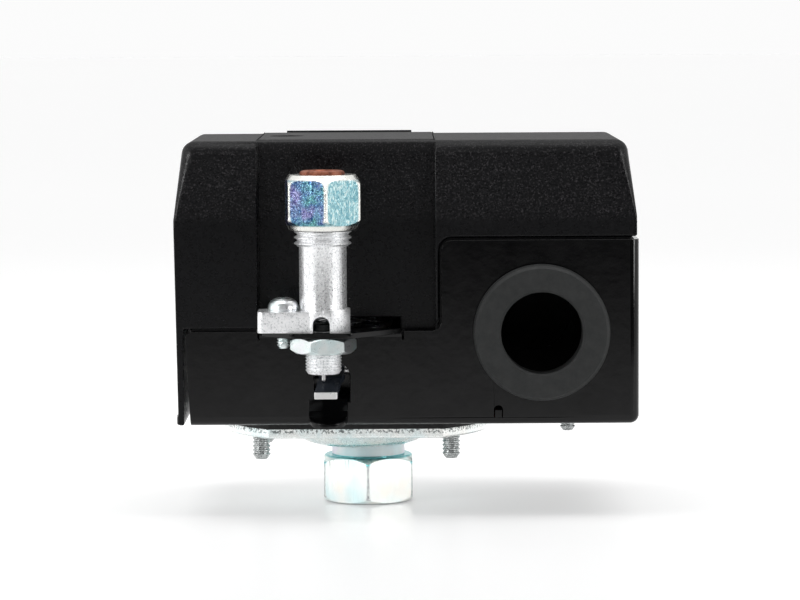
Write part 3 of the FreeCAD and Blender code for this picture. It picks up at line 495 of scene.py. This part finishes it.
# whiteness of the floor from front to back, as (y in metres, whiteness); painted shade darkens it towards
# the front, and a painted soft shadow lowers it just in front of the object
FLOOR_RAMP_START = -1.2
FLOOR_RAMP_END = 1.8
FLOOR_WHITES_AND_PAINTED_SHADE = [
    (-1.0, 0.0), (-0.85, 0.06), (-0.62, 0.27), (-0.42, 0.58), (-0.22, 0.7),
    (-0.07, 0.71), (0.03, 0.82), (0.5, 0.82), (0.93, 0.8), (1.5, 0.83),
]
FLOOR_HALF_WIDTH = 5.0
FLOOR_FRONT = -1.6
FLOOR_BACK = 9.0

# soft boxes: name, place, target, width, height, radiance
SOFT_BOXES = [
    ("front_box", (-0.25, -1.35, 0.62), (0, 0, 0.05), 1.3, 0.45, 0.9),
    ("top_box", (0.05, -0.05, 0.75), (0.05, 0, 0.05), 0.9, 0.3, 2.9),
    ("left_box", (-0.87, -0.67, 0.38), (0, 0, 0.08), 0.2, 0.36, 16.0),
    ("right_box", (0.9, -0.67, 0.38), (0, 0, 0.08), 0.15, 0.36, 14.0),
    ("left_strip", (-0.95, -0.1, 0.24), (0, 0, 0.06), 0.12, 0.45, 2.0),
    ("right_strip", (0.88, -0.47, 0.24), (0, 0, 0.06), 0.1, 0.45, 2.0),
]


def stage_mesh(name, vertices, faces, material):
    mesh = bpy.data.meshes.new(name)
    mesh.from_pydata(vertices, [], faces)
    mesh.materials.append(material)
    made = bpy.data.objects.new(name, mesh)
    scene.collection.objects.link(made)


def floor_material():
    """White table with painted shade that darkens it in front of the camera, a painted soft shadow just in
    front of the object, and a painted glow of its own.
    """
    s = Shader("studio_floor", IOR=1.4, Roughness=0.33, Specular_IOR_Level=0.15)
    reach = s.spread(s.along("Y"), 0.0, 1.0, FLOOR_RAMP_START, FLOOR_RAMP_END)
    length = FLOOR_RAMP_END - FLOOR_RAMP_START
    # painted shade and painted shadow in the floor's whiteness, which also colours its painted glow
    white = s.ramp(reach, [((y - FLOOR_RAMP_START) / length, value) for y, value in FLOOR_WHITES_AND_PAINTED_SHADE])
    s.feed("Base Color", white)
    s.feed("Emission Color", white)
    s.bsdf.inputs["Emission Strength"].default_value = FLOOR_PAINTED_GLOW
    return s.material


def studio_floor():
    left, right = -FLOOR_HALF_WIDTH, FLOOR_HALF_WIDTH
    corners = [(left, FLOOR_FRONT, 0.0), (right, FLOOR_FRONT, 0.0)]
    corners += [(right, FLOOR_BACK, 0.0), (left, FLOOR_BACK, 0.0)]
    stage_mesh("studio_floor", corners, [(0, 1, 2, 3)], floor_material())


def area_light(name, place, target, width, height, radiance):
    """Soft box of an even radiance."""
    light = bpy.data.lights.new(name, "AREA")
    light.shape = "RECTANGLE"
    light.size = width
    light.size_y = height
    light.energy = radiance * math.pi * width * height
    made = bpy.data.objects.new(name, light)
    made.location = place
    made.rotation_euler = (Vector(target) - Vector(place)).to_track_quat("-Z", "Y").to_euler()
    scene.collection.objects.link(made)


def studio_world():
    """White room: bright above and behind, dim in front below the soft boxes."""
    world = bpy.data.worlds.new("studio_world")
    world.use_nodes = True
    tree = world.node_tree
    coords = tree.nodes.new("ShaderNodeTexCoord")
    split = tree.nodes.new("ShaderNodeSeparateXYZ")
    tree.links.new(coords.outputs["Generated"], split.inputs["Vector"])

    def spread(axis, directions, low, high):
        node = tree.nodes.new("ShaderNodeMapRange")
        node.interpolation_type = "SMOOTHSTEP"
        limits = {"From Min": directions[0], "From Max": directions[1], "To Min": low, "To Max": high}
        for name, value in limits.items():
            node.inputs[name].default_value = value
        tree.links.new(split.outputs[axis], node.inputs["Value"])
        return node.outputs["Result"]

    def combine(operation, first, second):
        node = tree.nodes.new("ShaderNodeMath")
        node.operation = operation
        for socket, value in zip(node.inputs, (first, second)):
            tree.links.new(value, socket)
        return node.outputs["Value"]

    around = spread("Y", FRONT_TO_BACK, FRONT_GLOW, BACK_GLOW)
    upward = spread("Z", LOW_TO_OVERHEAD, 0.0, 1.0)
    overhead = combine("MULTIPLY", upward, spread("X", LEFT_TO_RIGHT, TOP_LEFT, TOP_RIGHT))
    total = combine("ADD", around, overhead)
    tree.nodes["Background"].inputs["Color"].default_value = (1.0, 1.0, 1.0, 1.0)
    tree.links.new(total, tree.nodes["Background"].inputs["Strength"])
    scene.world = world


def studio():
    studio_floor()
    studio_world()
    for soft_box in SOFT_BOXES:
        area_light(*soft_box)
    scene.view_settings.view_transform = "Standard"


# camera: level height, distance and angles of the product shot
CAMERA_PLACE = Vector((8.205, -878.893, 122.809)) * MM
CAMERA_PITCH = math.radians(4.7)
CAMERA_ROLL = math.radians(0.32)
CAMERA_LENS = 157.5
CAMERA_SENSOR = 36.0
CAMERA_FAR = 20.0


def product_camera():
    forward = Vector((0, math.cos(CAMERA_PITCH), -math.sin(CAMERA_PITCH)))
    right = Vector((1, 0, 0))
    up = right.cross(forward)
    turned_right = right * math.cos(CAMERA_ROLL) - up * math.sin(CAMERA_ROLL)
    turned_up = right * math.sin(CAMERA_ROLL) + up * math.cos(CAMERA_ROLL)
    data = bpy.data.cameras.new("product_camera")
    data.sensor_width = CAMERA_SENSOR
    data.lens = CAMERA_LENS
    data.clip_end = CAMERA_FAR
    camera = bpy.data.objects.new("product_camera", data)
    axes = Matrix((turned_right, turned_up, -forward)).transposed()
    camera.matrix_world = Matrix.Translation(CAMERA_PLACE) @ axes.to_4x4()
    scene.collection.objects.link(camera)
    scene.camera = camera


studio()
product_camera()
